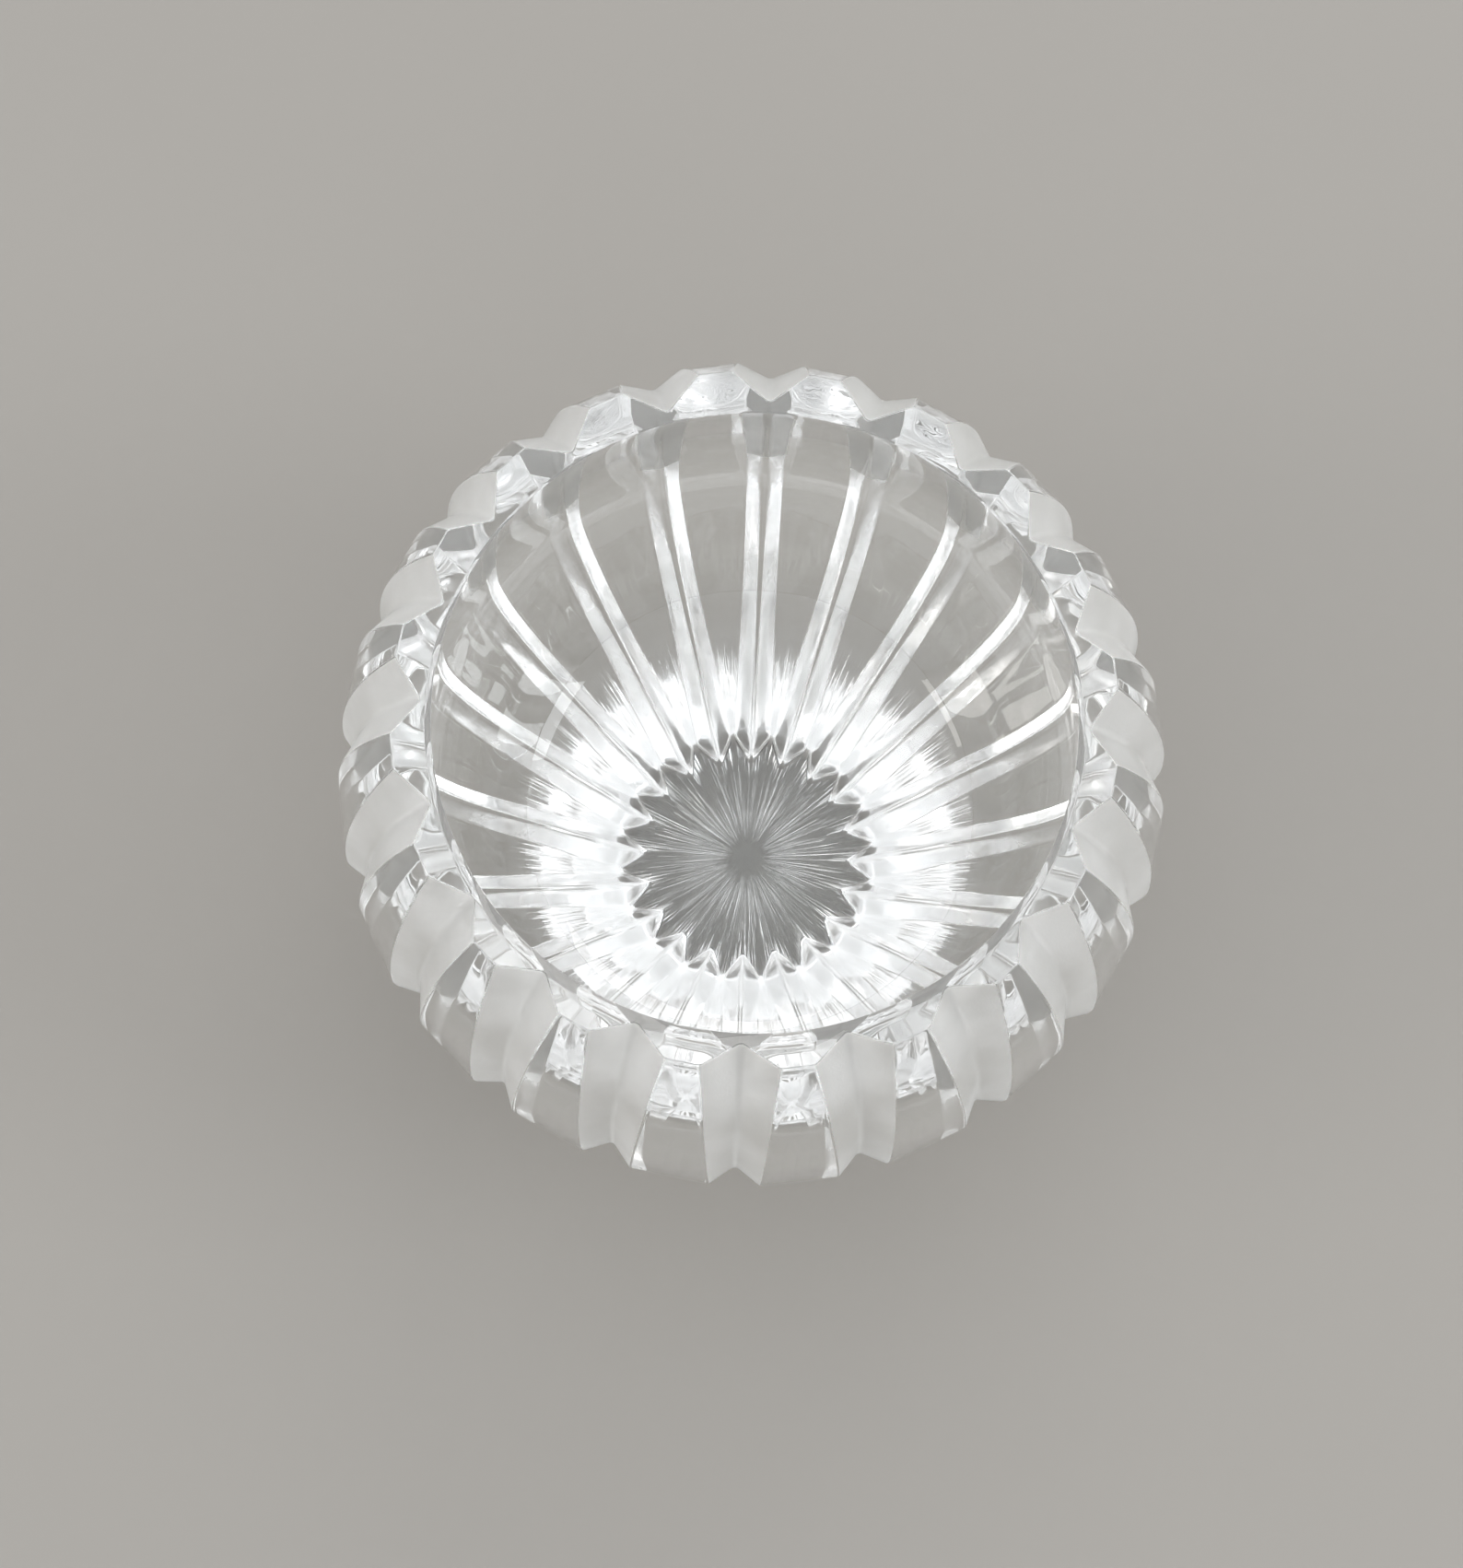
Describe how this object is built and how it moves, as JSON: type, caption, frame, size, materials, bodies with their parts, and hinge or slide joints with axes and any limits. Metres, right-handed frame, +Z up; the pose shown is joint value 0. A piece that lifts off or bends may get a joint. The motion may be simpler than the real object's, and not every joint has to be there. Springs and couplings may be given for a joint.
{
  "type": "dappen dish",
  "caption": "Small round dappen dish of thick clear pressed glass, with frosted V grooves down the outside and a smooth rounded bowl.",
  "frame": {"origin": "centre of the foot, on the surface that the dish stands on", "axes": "+Z up through the middle of the bowl; a groove lies on each of +X, -X, +Y and -Y"},
  "size_m": [0.0602, 0.0602, 0.045],
  "materials": {
    "glass": "clear and fire polished, with matte frosted faces in the grooves"
  },
  "bodies": {
    "root": {"glass_dish": "glass"}
  },
  "joints": []
}
